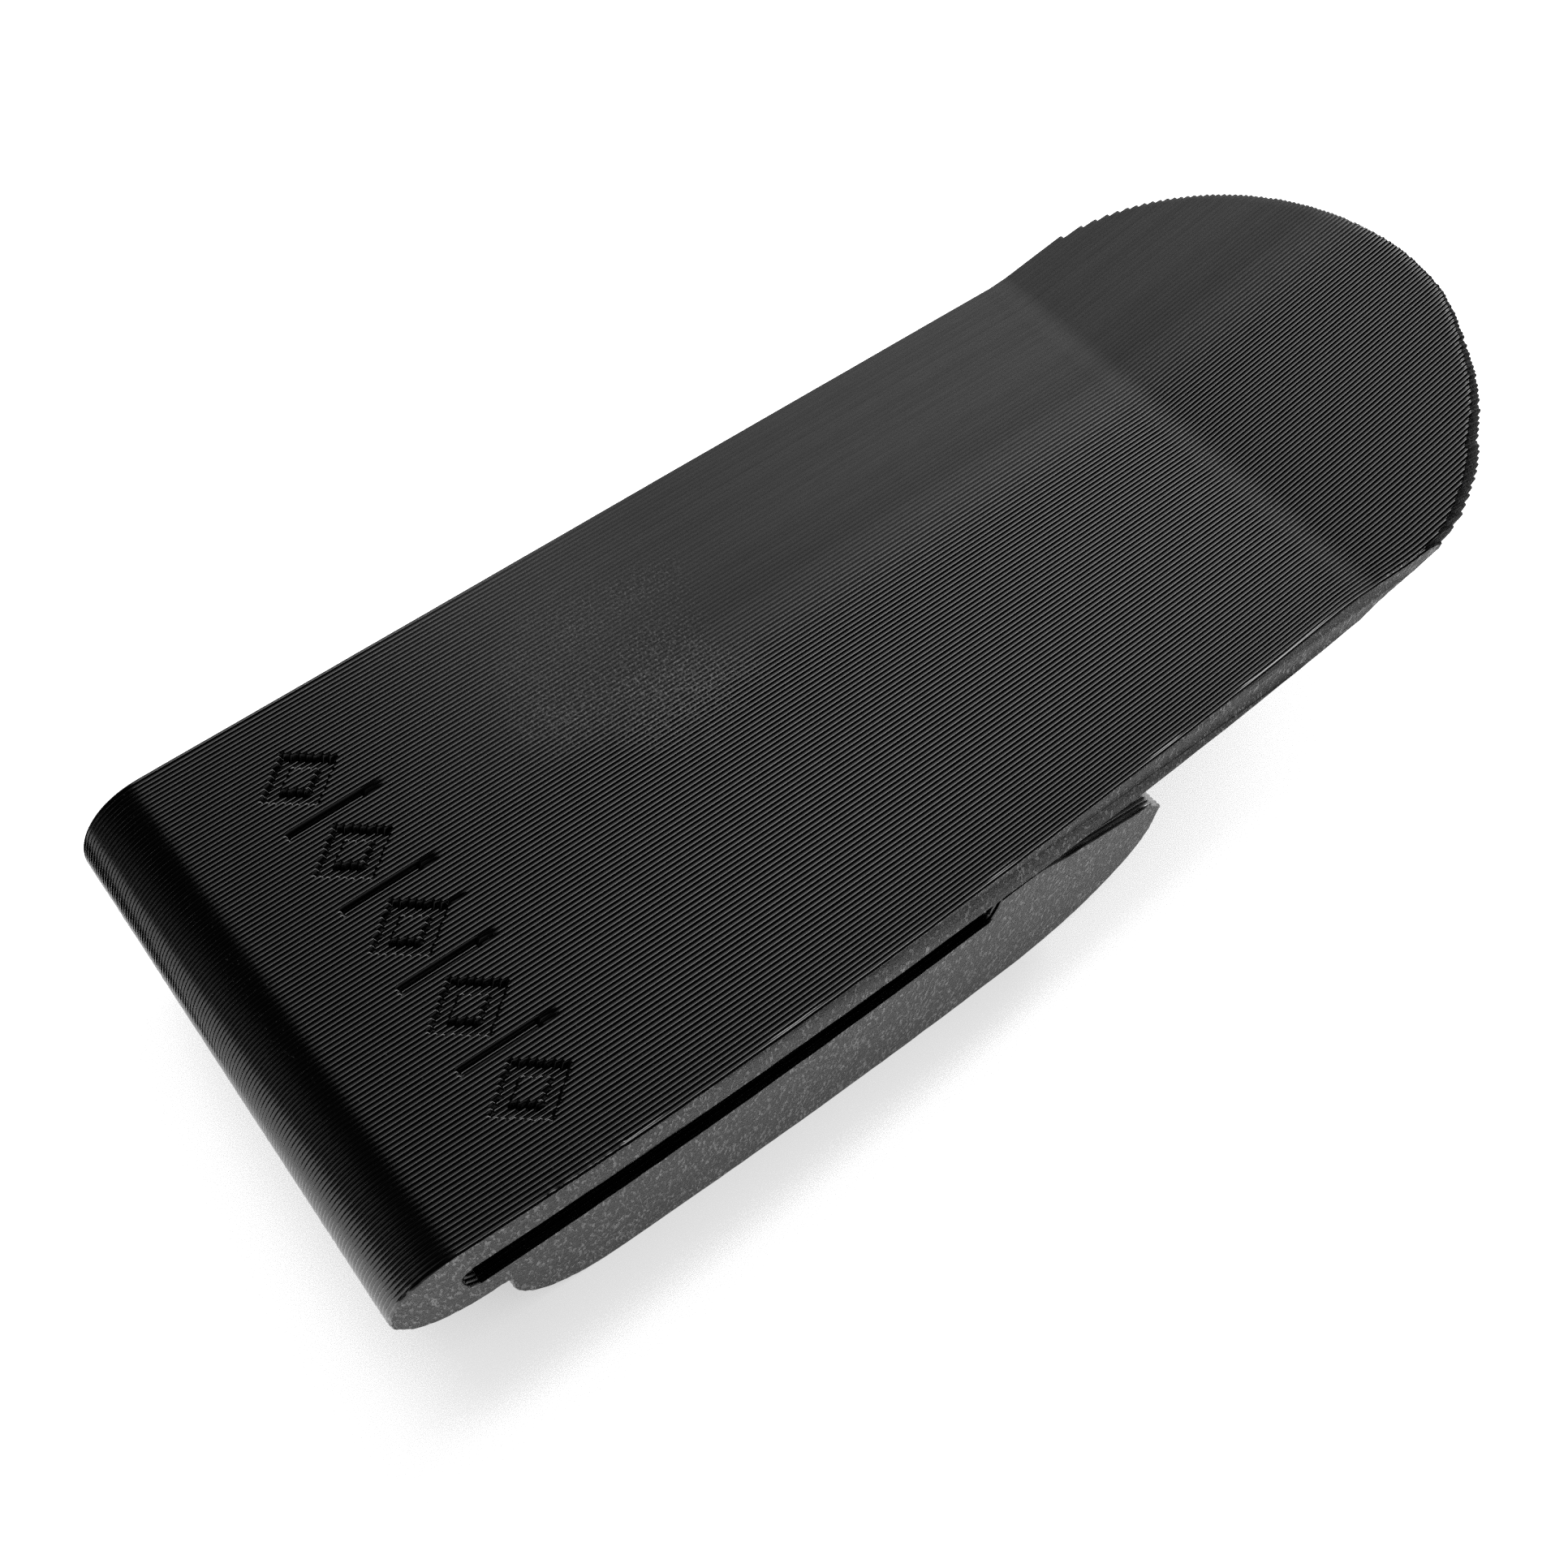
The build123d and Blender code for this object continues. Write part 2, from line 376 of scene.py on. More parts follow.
# %% [markdown]
# ## The engraved row
# Near the bend the plate carries a shallow row of marks: outlined diamonds with a bar
# between each two. They were left out of each layer's outline, so their slanted edges
# climb in 0.2 mm steps. We lower the plate's top wherever a layer's middle crosses a mark.

# %% Where the marks are
ENGRAVE_DEPTH = 0.4
ENGRAVE_START = 3.3
ENGRAVE_LENGTH = 3.4
ENGRAVE_PITCH = 4.2
DIAMOND_COUNT = 5
DIAMOND_WIDTH = 2.9
STROKE = 0.55
TOP_TOLERANCE = 0.01


def marks(x, y):
    """1 inside the diamonds' lines and the bars, 0 outside."""
    run = (x - ENGRAVE_START - ENGRAVE_LENGTH / 2) / ENGRAVE_LENGTH * 2
    first = -ENGRAVE_PITCH * (DIAMOND_COUNT - 1) / 2
    nearest = np.clip(np.round((y - first) / ENGRAVE_PITCH), 0, DIAMOND_COUNT - 1)
    across = (y - first - ENGRAVE_PITCH * nearest) / DIAMOND_WIDTH * 2
    ring = np.abs(run) + np.abs(across)
    thickness = 2 * STROKE * math.hypot(1 / ENGRAVE_LENGTH, 1 / DIAMOND_WIDTH)
    diamond = (ring < 1) & (ring > 1 - thickness)
    between = np.clip(np.round((y - first) / ENGRAVE_PITCH - 0.5), 0, DIAMOND_COUNT - 2) + 0.5
    bar = (np.abs(y - first - ENGRAVE_PITCH * between) < STROKE / 2) & (np.abs(run) < 1)
    return (diamond | bar).astype(float)


def engraving(outline):
    """How deep each point of the plate's rings is engraved."""
    middle = (ring_layer + 0.5) / LAYERS * WIDTH - WIDTH / 2
    below = middle - LAYER_HEIGHT * in_pinch
    x, z = outline[..., 0], outline[..., 1]
    on_top = (z > PLATE_TOP - TOP_TOLERANCE) & (x > 0) & (x < CREASE_X / 2)
    cut = np.maximum(marks(x, middle[:, None]), marks(x, below[:, None]))
    return ENGRAVE_DEPTH * cut * on_top


print(DIAMOND_COUNT, "diamonds,", DIAMOND_COUNT - 1, "bars,", ENGRAVE_DEPTH, "mm deep")

# %% [markdown]
# ## Plate and raised tip
# The plate is a flat spring, thickest at the bend. Past the crease it lifts and thins out
# to a round end. A layer can only stop where the nozzle stops, so the round end is a
# staircase: each layer reaches as far as the circle lets it. From the bed to the middle each
# layer reaches further than the one below it, so its end was laid on air. Those ends sagged,
# rolled over and came out ragged, and chance sets each of them apart.

# %% How far each layer of the tip reaches
HANGS_PAST_MIDDLE = 0.1     # ends still hang over a little past the middle
SHORTFALL = 0.3             # hanging ends fall short of the circle
SHORT_FROM, SHORT_FULL = 0.3, 0.6
SHORT_ENDS, SHORT_GONE = 0.85, 1
FIRST_SPREAD = 0.5          # the first layers spread on the bed instead
FIRST_SPREAD_LAYERS = 4
LOOSE_SPREAD = 0.09
END_SPREAD = 0.02
ROLL_LEAST = 0.12           # how far an end rolls over, in millimetres along the tip
ROLL_LOOSE = 1.4
ROLL_POWER = 2.2
ROLL_LUCK = (0.8, 1.0)
layer_y = (np.arange(LAYERS) + 0.5) * LAYER_HEIGHT - WIDTH / 2
layer_reach = TIP_STRAIGHT + np.sqrt((WIDTH / 2) ** 2 - layer_y**2)
overhang = np.clip(HANGS_PAST_MIDDLE - layer_y / (WIDTH / 2), 0, 1)
falls_short = SHORTFALL * soft_step(overhang, SHORT_FROM, SHORT_FULL)
falls_short = falls_short * (1 - soft_step(overhang, SHORT_ENDS, SHORT_GONE))
first_spread = FIRST_SPREAD * np.exp(-(np.arange(LAYERS) / FIRST_SPREAD_LAYERS) ** 2)
sag = first_spread - falls_short
layer_reach += sag - overhang * np.abs(chance.normal(0, LOOSE_SPREAD, LAYERS))
layer_reach = np.minimum(layer_reach, TIP_REACH) - np.abs(chance.normal(0, END_SPREAD, LAYERS))
layer_roll = ROLL_LEAST + ROLL_LOOSE * overhang**ROLL_POWER * chance.uniform(*ROLL_LUCK, LAYERS)
print(f"tip layers reach {layer_reach.min():.2f} to {layer_reach.max():.2f} mm")

# %% [markdown]
# Each layer's stretch of the tip runs along the slanted top, over the rolled end and back
# underneath. The tip thins evenly, so its thickness follows from the distance to the crease.

# %% The tip's outline for one layer
TIP_POINTS = 26
TURN_POINTS = 7
CREASE_SOFTENING = 0.5      # the crease is a soft bend this long on each side
EDGE_LEFT = 0.15            # thickness that a rolled end always keeps
ROLL_DROP = 0.7             # an end drops this share of its roll
ROUND_SHARE, SLOPE_SHARE = 0.35, 0.65
UNDER_SETBACK = 0.12        # the underside ends a little before the top


def tip_thickness(distance):
    """The tip's thickness, square to its top, at a distance from the crease."""
    root = (PLATE_TOP - PLATE_UNDER) * math.cos(TIP_ANGLE)
    before = (PLATE_TOP - PLATE_UNDER) * math.sin(TIP_ANGLE)
    return root + (TIP_EDGE - root) * (distance + before) / (TIP_REACH + before)


def tip_outline(length, roll):
    """The tip's outline from the crease's top, round its end, to the crease's underside."""
    along, up = np.array(TIP_ALONG), np.array(TIP_UP)
    crease = np.array([CREASE_X, PLATE_TOP])
    shares = np.linspace(0, 1, TIP_POINTS)[:, None]
    top = crease + along * (CREASE_SOFTENING + (length - roll - CREASE_SOFTENING) * shares)
    turn = np.radians(np.linspace(90, 0, TURN_POINTS + 1))[1:, None]
    share = 1 - turn / math.radians(90)
    drop = min(tip_thickness(length) - EDGE_LEFT, ROLL_DROP * roll)
    out = ROUND_SHARE * np.cos(turn) + SLOPE_SHARE * share
    down = ROUND_SHARE * (np.sin(turn) - 1) - SLOPE_SHARE * share
    end = crease + along * (length - roll + roll * out) + up * (drop * down)
    under_end = crease + along * (length - UNDER_SETBACK) - up * tip_thickness(length)
    under_start = np.array([CREASE_X, PLATE_UNDER])
    under = under_end + (under_start - under_end) * shares[:-1]
    return np.concatenate([top, end, under])


print(f"tip {tip_thickness(0):.2f} mm thick at the crease, {tip_thickness(TIP_REACH):.2f} at its end")

# %% [markdown]
# The plate's top needs close points only where the marks are, because their edges must come
# out crisp. Elsewhere wide steps do, which keeps the mesh small enough to share.

# %% Outline of the plate for each layer
PLATE_SPACING = 0.9
FINE_SPACING = 0.1
MARKS_MARGIN = 0.1
MARKS_FROM = ENGRAVE_START - MARKS_MARGIN
MARKS_TO = ENGRAVE_START + ENGRAVE_LENGTH + MARKS_MARGIN
UNDER_ROUND = 8             # the soft change of thickness above the grip
LOOSE_SHARE = 0.55          # of the layers, from the bed up
LOOSE_LAYERS = round(LAYERS * LOOSE_SHARE)


def plate_outlines():
    """One outline for each layer, from the bend's seam out over the top and back."""
    top_end = (CREASE_X - CREASE_SOFTENING, PLATE_TOP)
    lead = straight((0, PLATE_TOP), (MARKS_FROM, PLATE_TOP), PLATE_SPACING)
    marked = straight((MARKS_FROM, PLATE_TOP), (MARKS_TO, PLATE_TOP), FINE_SPACING)
    rest = straight((MARKS_TO, PLATE_TOP), top_end, PLATE_SPACING)
    top = np.concatenate([lead, marked, rest, [top_end]])
    under = rounded([
        (CREASE_X, PLATE_UNDER, 0),
        (STEP_X + STEP_LEAN, PLATE_UNDER, UNDER_ROUND),
        (0, PLATE_ROOT_UNDER, 0),
    ], PLATE_SPACING)
    tips = [tip_outline(length, roll) for length, roll in zip(layer_reach, layer_roll)]
    return np.stack([np.concatenate([top, tip, under]) for tip in tips])


outlines = plate_outlines()
tip_start = int(np.argmax(outlines[0, :, 0] > CREASE_X))
loose = (tip_start + TIP_POINTS - 1, tip_start + TIP_POINTS + TURN_POINTS, LOOSE_LAYERS)
plate = print_piece("printed_plate", [outlines], engraving, loose)

# %% [markdown]
# ## Bend
# The half-round bend is the spring itself: it opens as the plate is lifted. The slit ends
# in it as a small notch. It shares its seam points with the plate and the arm, but rides on
# neither body: it stays fixed where it was built.

# %% Outline of the bend
BEND_POINTS = 46
NOTCH_ROUND = 0.2
NOTCH_SPACING = 0.3
around = turned((0, BEND_CENTRE), BEND_RADIUS, BEND_RADIUS, 270, 90, BEND_POINTS)
slit_end = rounded([
    (0, PLATE_ROOT_UNDER, 0),
    (-SLIT_NOTCH, PLATE_ROOT_UNDER - SLIT_NOTCH, NOTCH_ROUND),
    (-SLIT_NOTCH, SLIT_FLOOR_ROOT + SLIT_NOTCH, NOTCH_ROUND),
    (0, SLIT_FLOOR_ROOT, 0),
], NOTCH_SPACING)
bend = print_piece("printed_bend", [around, slit_end])

# %% [markdown]
# ## Arm
# The arm starts as a thin leaf under the slit, steps up to the flat that grips, and falls
# away in a ramp, so that cloth or cards slide in. Below the leaf sits a thick block, rounded
# at both ends, which the clip lies on. The printer made leaf, jaw and block in one outline.

# %% Top and front of the arm
ARM_SPACING = 0.6
LAND_END = STEP_X + STEP_LEAN + GRIP_LAND
RAMP_END = (LAND_END + RAMP_RUN, GRIP_TOP - RAMP_DROP)
STEP_CORNER = 0.25
LAND_CORNER = 0.8
NOSE_CORNER = 0.5
over = rounded([
    (0, SLIT_FLOOR_ROOT, 0),
    (STEP_X, STEP_FOOT, STEP_CORNER),
    (STEP_X + STEP_LEAN, GRIP_TOP, STEP_CORNER),
    (LAND_END, GRIP_TOP, LAND_CORNER),
    (*RAMP_END, NOSE_CORNER),
    (NOSE_X, RAMP_END[1] - NOSE_ROUND, NOSE_CORNER),
    (NOSE_X, ARM_UNDER, 0),
], ARM_SPACING)
print(f"ramp falls from {GRIP_TOP:.2f} to {RAMP_END[1]:.2f} mm, {len(over)} points")

# %% Block under the arm
HEEL_RADIUS = PAD_START - HEEL_X
HEEL_CORNER = 0.3
NOSE_POINTS = 30
HEEL_POINTS = 20
BACK_SPACING = 0.2
POINT_STEP = 0.1            # past the heel's round, which ends with a point of its own
nose = turned((PAD_END, ARM_UNDER), NOSE_X - PAD_END, ARM_UNDER, 0, -90, NOSE_POINTS)[1:]
flat = straight((PAD_END, 0), (PAD_START, 0), ARM_SPACING)[1:]
heel = turned((PAD_START, HEEL_RADIUS), HEEL_RADIUS, HEEL_RADIUS, -90, -180, HEEL_POINTS)
back = rounded([
    (HEEL_X, HEEL_RADIUS + POINT_STEP, 0),
    (HEEL_X, ARM_UNDER, HEEL_CORNER),
    (0, ARM_UNDER, 0),
], BACK_SPACING)
print(f"block flat from {PAD_START:.2f} to {PAD_END:.2f} mm, heel radius {HEEL_RADIUS:.2f}")

# %% [markdown]
# The first layers were pressed out sideways on the bed, and there they all but close the
# narrow gap between grip and plate. A depth below zero moves the grip's flat outwards.

# %% The arm, with its grip squeezed at the bed side
SQUEEZE = 0.13
SQUEEZE_LAYERS = 2
SQUEEZE_FROM = GRIP_TOP - 0.5
SQUEEZE_FULL = GRIP_TOP - 0.1


def squeezed_grip(outline):
    """How deep the grip lies inside the model's surface: below zero, so outside it."""
    x, z = outline[..., 0], outline[..., 1]
    on_grip = soft_step(z, SQUEEZE_FROM, SQUEEZE_FULL) * (x < LAND_END + LAND_CORNER)
    return -SQUEEZE * np.exp(-ring_layer / SQUEEZE_LAYERS)[:, None] * on_grip


arm = print_piece("printed_arm", [np.concatenate([over, nose, flat, heel, back])], squeezed_grip)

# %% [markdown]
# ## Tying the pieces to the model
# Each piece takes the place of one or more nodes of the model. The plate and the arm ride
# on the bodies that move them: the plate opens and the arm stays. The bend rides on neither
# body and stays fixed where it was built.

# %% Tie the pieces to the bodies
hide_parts("front_plate", "raised_tip")
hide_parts("spring_bend")
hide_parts("arm_leaf", "grip_jaw", "belly_heel", "belly_pad", "belly_nose")
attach(plate, "plate")
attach(arm, "arm")
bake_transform(bend)

# %% [markdown]
# ## Writing materials as expressions
# A shader is arithmetic on values that change over a surface. The small class below wraps a
# socket, so that `1 - mask` or `speckle * 0.2` adds the Math nodes for us.


# %% Sockets as values
class Value:
    """A number that changes over the surface, on its way through a material."""

    def __init__(self, paint, socket):
        self.paint = paint
        self.socket = socket

    def math(self, operation, first, second):
        return self.paint.node("ShaderNodeMath", {"operation": operation}, {0: first, 1: second})

    def __add__(self, other):
        return self.math("ADD", self, other)

    def __radd__(self, other):
        return self.math("ADD", other, self)

    def __sub__(self, other):
        return self.math("SUBTRACT", self, other)

    def __rsub__(self, other):
        return self.math("SUBTRACT", other, self)

    def __mul__(self, other):
        return self.math("MULTIPLY", self, other)

    def __rmul__(self, other):
        return self.math("MULTIPLY", other, self)

    def __pow__(self, other):
        return self.math("POWER", self, other)


print("a Value can be added, subtracted, multiplied and raised to a power")

# %% [markdown]
# Every other node comes from one method, which takes the node's type, its settings, and the
# values or links of its sockets. Three more methods name what we use often: a soft step from
# 0 to 1, a colour between two colours, and a noise.


# %% A material under way
class Paint:
    """A material or world under way, with one method that adds any node."""

    def __init__(self, owner):
        owner.use_nodes = True
        self.tree = owner.node_tree
        self.tree.nodes.clear()

    def node(self, kind, settings=None, sockets=None, output=0):
        made = self.tree.nodes.new(kind)
        for key, value in (settings or {}).items():
            setattr(made, key, value)
        for key, value in (sockets or {}).items():
            if isinstance(value, Value):
                self.tree.links.new(value.socket, made.inputs[key])
            else:
                made.inputs[key].default_value = value
        return Value(self, made.outputs[output]) if made.outputs else None

    def smooth(self, value, low, high):
        """0 below low, 1 above high, with a soft step between."""
        return self.node("ShaderNodeMapRange", {"interpolation_type": "SMOOTHSTEP"},
                         {"Value": value, "From Min": low, "From Max": high})

    def blend(self, share, first, second):
        """A colour between two colours."""
        return self.node("ShaderNodeMix", {"data_type": "RGBA"},
                         {"Factor": share, "A": first, "B": second}, 2)

    def noise(self, place, scale, detail):
        """Soft random cloudiness; the scale counts its lumps in a metre."""
        return self.node("ShaderNodeTexNoise", {},
                         {"Vector": place, "Scale": scale, "Detail": detail})


PLACE = 3                   # the Texture Coordinate node's output in the piece's own space
finishes = []
print("places come from output", PLACE)

# %% [markdown]
# ## Black filament, ridged
# The plastic is deep black and half glossy. Its ridges are real geometry, so the material
# only adds what is finer: each layer cools a little duller or glossier than the next, and
# streaks run along the nozzle's way. The last layers stayed hot longest and melted into a
# dull skin. Handling left pale dust on the ridges and one scuffed patch on the plate. A
# pale band across the crease is painted highlight, where the bent surface catches light.

# %% Material of the ridged faces
DEEP_BLACK = (0.0009, 0.0009, 0.0009, 1)
DUST_SCRATCH_AND_HIGHLIGHT_GREY = (0.08, 0.08, 0.08, 1)
STREAKS_PER_MM = 0.6        # along the clip
STREAK_APART = 7.31         # any odd step, so that layers don't share streaks
GRAIN_SCALE, DUST_SCALE, PATCH_SCALE = 9000.0, 90.0, 260.0
DUST_GRAIN, DUST_CLOUD = (0.66, 0.78), (0.45, 0.7)      # noise levels, from none to full
SCUFF_EDGE, SCRATCH_GRAIN = (1.0, 2.2), (0.5, 0.7)
SCUFF_X, SCUFF_HEIGHT = 18.3, 17.3
SCUFF_TIGHT_X, SCUFF_TIGHT_HEIGHT = 0.16, 0.19
SCUFF_RAGGED = 2.4
CREASE_REACH = 1.0
# The middle value is the strength of the painted highlight across the crease; dust and scratches are
# real marks.
DUST, CREASE_HIGHLIGHT, SCRATCHES = 0.35, 0.1, 0.9
GLOSS = 0.13
LAYER_LUCK, STREAKS, SCUFFED, MELTED = 0.03, 0.04, 0.1, 0.54
MELT_HEIGHT = (0.5 * WIDTH, 0.72 * WIDTH)
MELT_ALONG = (3, 26)


def ridged_black():
    """The black filament on every face that runs across the layers."""
    material = bpy.data.materials.new("ridged_black")
    paint = Paint(material)
    height = paint.node("ShaderNodeAttribute", {"attribute_name": "build_height"}, output=2)
    along = paint.node("ShaderNodeAttribute", {"attribute_name": "along_clip"}, output=2)
    layer = paint.node("ShaderNodeMath", {"operation": "FLOOR"}, {0: height * (1 / LAYER_HEIGHT)})
    luck = paint.node("ShaderNodeTexWhiteNoise", {"noise_dimensions": "1D"}, {"W": layer})
    streak_place = paint.node("ShaderNodeCombineXYZ", None,
                              {0: along * STREAKS_PER_MM, 1: layer * STREAK_APART, 2: 0.0})
    streak = paint.node("ShaderNodeTexNoise", {"noise_dimensions": "2D"},
                        {"Vector": streak_place, "Scale": 1.0, "Detail": 3.0})
    place = paint.node("ShaderNodeTexCoord", output=PLACE)
    grain = paint.noise(place, GRAIN_SCALE, 2.0)
    cloud = paint.noise(place, DUST_SCALE, 3.0)
    dust = paint.smooth(grain, *DUST_GRAIN) * paint.smooth(cloud, *DUST_CLOUD)
    # Painted highlight: a pale stripe in the base colour along the crease, where the bent surface
    # catches the light.
    before_crease = paint.smooth(along, CREASE_X - CREASE_REACH, CREASE_X)
    crease = before_crease * (1 - paint.smooth(along, CREASE_X, CREASE_X + CREASE_REACH))
    patch = paint.noise(place, PATCH_SCALE, 4.0)
    off_along = ((along - SCUFF_X) * SCUFF_TIGHT_X) ** 2
    off_height = ((height - SCUFF_HEIGHT) * SCUFF_TIGHT_HEIGHT) ** 2
    scuff = 1 - paint.smooth(off_along + off_height + patch * SCUFF_RAGGED, *SCUFF_EDGE)
    scratch = scuff * paint.smooth(grain, *SCRATCH_GRAIN)
    pale = dust * DUST + crease * CREASE_HIGHLIGHT + scratch * SCRATCHES
    melted = paint.smooth(height, *MELT_HEIGHT) * paint.smooth(along, *MELT_ALONG)
    roughness = GLOSS + luck * LAYER_LUCK + streak * STREAKS + scuff * SCUFFED + melted * MELTED
    bump = paint.node("ShaderNodeBump", {},
                      {"Strength": 0.12, "Distance": 0.00002, "Height": grain})
    surface = paint.node("ShaderNodeBsdfPrincipled", {}, {
        "Base Color": paint.blend(pale, DEEP_BLACK, DUST_SCRATCH_AND_HIGHLIGHT_GREY),
        "Roughness": roughness, "Normal": bump, "IOR": 1.5,
    })
    paint.node("ShaderNodeOutputMaterial", {}, {"Surface": surface})
    return material


finishes.append(ridged_black())
print(finishes[-1].name, "has", len(finishes[-1].node_tree.nodes), "nodes")

# %% [markdown]
# ## The bed side
# The first layer was pressed into a bed with a grainy coating, and took its pattern: fine
# pale worms and pits, duller than the ridges. Noise stretched in one direction and cut off
# at a level gives the worms, a Voronoi pattern gives the pits, and a Bump node raises them.

# %% Material of the bed side
WORM_SLANT = math.radians(35)
WORM_STRETCH = (1.0, 1.0, 0.3)
WORM_SCALE, PIT_SCALE, CLOUD_SCALE = 7000.0, 4200.0, 1500.0
WORM_EDGE = (0.47, 0.6)
CLOUD_EDGE = (0.35, 0.65)
WORM_RELIEF, PIT_RELIEF = 0.7, 0.3
CLOUD_LEAST, CLOUD_REST = 0.25, 0.75
BED_BLACK = (0.002, 0.002, 0.002, 1)
BED_GREY = (0.12, 0.12, 0.12, 1)
BED_ROUGHNESS, WORM_GLOSS = 0.56, 0.14


def bed_side():
    """The grainy side that lay on the printer's bed."""
    material = bpy.data.materials.new("grainy_bed_side")
    paint = Paint(material)
    place = paint.node("ShaderNodeTexCoord", output=PLACE)
    slanted = paint.node("ShaderNodeMapping", {}, {
        "Vector": place, "Rotation": (0.0, WORM_SLANT, 0.0), "Scale": WORM_STRETCH,
    })
    worms = paint.node("ShaderNodeTexNoise", {}, {
        "Vector": slanted, "Scale": WORM_SCALE,
        "Detail": 3.0, "Roughness": 0.65, "Distortion": 0.5,
    })
    pits = paint.node("ShaderNodeTexVoronoi", {"feature": "SMOOTH_F1"},
                      {"Vector": place, "Scale": PIT_SCALE, "Smoothness": 0.4})
    raised = paint.smooth(worms, *WORM_EDGE)
    relief = raised * WORM_RELIEF + (1 - pits) * PIT_RELIEF
    cloud = paint.noise(place, CLOUD_SCALE, 4.0)
    pale = raised * (CLOUD_LEAST + paint.smooth(cloud, *CLOUD_EDGE) * CLOUD_REST)
    bump = paint.node("ShaderNodeBump", {},
                      {"Strength": 0.9, "Distance": 0.00012, "Height": relief})
    surface = paint.node("ShaderNodeBsdfPrincipled", {}, {
        "Base Color": paint.blend(pale, BED_BLACK, BED_GREY),
        "Roughness": BED_ROUGHNESS - raised * WORM_GLOSS,
        "Normal": bump, "Specular IOR Level": 0.36,
    })
    paint.node("ShaderNodeOutputMaterial", {}, {"Surface": surface})
    return material


finishes.append(bed_side())
print(finishes[-1].name, "has", len(finishes[-1].node_tree.nodes), "nodes")

# %% [markdown]
# ## The last layer
# Nothing was laid on the last layer, so its lines stay open. The nozzle filled it in slanted
# lines, which a Wave pattern draws, and it is a little glossier than the bed side.

# %% Material of the last layer
FILL_LINES = 700.0
LAST_BLACK = (0.006, 0.006, 0.006, 1)
LAST_GREY = (0.014, 0.014, 0.014, 1)


def last_layer():
    """The far side, filled in slanted lines."""
    material = bpy.data.materials.new("last_layer")
    paint = Paint(material)
    place = paint.node("ShaderNodeTexCoord", output=PLACE)
    lines = paint.node("ShaderNodeTexWave", {"bands_direction": "DIAGONAL"}, {
        "Vector": place, "Scale": FILL_LINES, "Distortion": 1.0, "Detail": 2.0,
    })
    grain = paint.noise(place, 6000.0, 2.0)
    bump = paint.node("ShaderNodeBump", {}, {
        "Strength": 0.4, "Distance": 0.00004, "Height": lines + grain * 0.3,
    })
    surface = paint.node("ShaderNodeBsdfPrincipled", {}, {
        "Base Color": paint.blend(grain * 0.5, LAST_BLACK, LAST_GREY),
        "Roughness": 0.34 + grain * 0.12, "Normal": bump, "IOR": 1.5,
    })
    paint.node("ShaderNodeOutputMaterial", {}, {"Surface": surface})
    return material


finishes.append(last_layer())
print(finishes[-1].name, "has", len(finishes[-1].node_tree.nodes), "nodes")

# %% [markdown]
# ## The loose ends of the tip
# Ends that were laid on air curl into open loops. Light goes in between them and hardly
# comes out, so they look blacker than the rest: rough, and almost without a shine.

# %% Material of the loose ends, and all finishes on the pieces
LOOSE_BLACK = (0.0004, 0.0004, 0.0005, 1)
LOOSE_GREY = (0.006, 0.006, 0.007, 1)


def loose_end():
    """The ends that were laid on air: rough, open and almost without gloss."""
    material = bpy.data.materials.new("loose_end")
    paint = Paint(material)
    place = paint.node("ShaderNodeTexCoord", output=PLACE)
    grain = paint.noise(place, 5000.0, 3.0)
    bump = paint.node("ShaderNodeBump", {},
                      {"Strength": 0.8, "Distance": 0.0001, "Height": grain})
    surface = paint.node("ShaderNodeBsdfPrincipled", {}, {
        "Base Color": paint.blend(paint.smooth(grain, 0.5, 0.75), LOOSE_BLACK, LOOSE_GREY),
        "Roughness": 0.5 + grain * 0.2, "Normal": bump, "Specular IOR Level": 0.04,
    })
    paint.node("ShaderNodeOutputMaterial", {}, {"Surface": surface})
    return material


finishes.append(loose_end())
for piece in (plate, bend, arm):
    for finish in finishes:
        piece.data.materials.append(finish)
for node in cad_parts.values():
    node.data.materials.clear()
    node.data.materials.append(finishes[RIDGED])
print("finishes:", [f.name for f in finishes])

# %% [markdown]
# ## Floor
# A plain pale sheet. It glows a little, because the sides of the clip mirror it, and black
# plastic needs something bright to mirror.

# %% Floor
FLOOR_SIZE = 3
FLOOR_CELLS = 8
FLOOR_GLOW = 0.6
bpy.ops.mesh.primitive_grid_add(
    x_subdivisions=FLOOR_CELLS, y_subdivisions=FLOOR_CELLS, size=FLOOR_SIZE)
floor = bpy.context.object
floor.name = "pale_floor"
paint = Paint(bpy.data.materials.new("pale_floor"))
place = paint.node("ShaderNodeTexCoord", output=PLACE)
mottle = paint.noise(place, 30.0, 3.0)
floor_colour = paint.blend(mottle, (0.90, 0.90, 0.90, 1), (0.93, 0.93, 0.93, 1))
floor_surface = paint.node("ShaderNodeBsdfPrincipled", {}, {
    "Base Color": floor_colour, "Roughness": 0.8,
    "Emission Color": floor_colour, "Emission Strength": FLOOR_GLOW,
})
paint.node("ShaderNodeOutputMaterial", {}, {"Surface": floor_surface})
floor.data.materials.append(bpy.data.materials["pale_floor"])
print("floor", FLOOR_SIZE, "m wide")

# %% [markdown]
# ## Light
# Black plastic shows little of its own colour: what we see is mostly what it mirrors. So the
# light is laid out by what each face looks at: the world is white, and its strength changes
# with the direction. The plate mirrors a bright, narrow ceiling on the far side, and the other
# faces mirror dim walls. One corner stays dark, because the bend mirrors it and goes black.

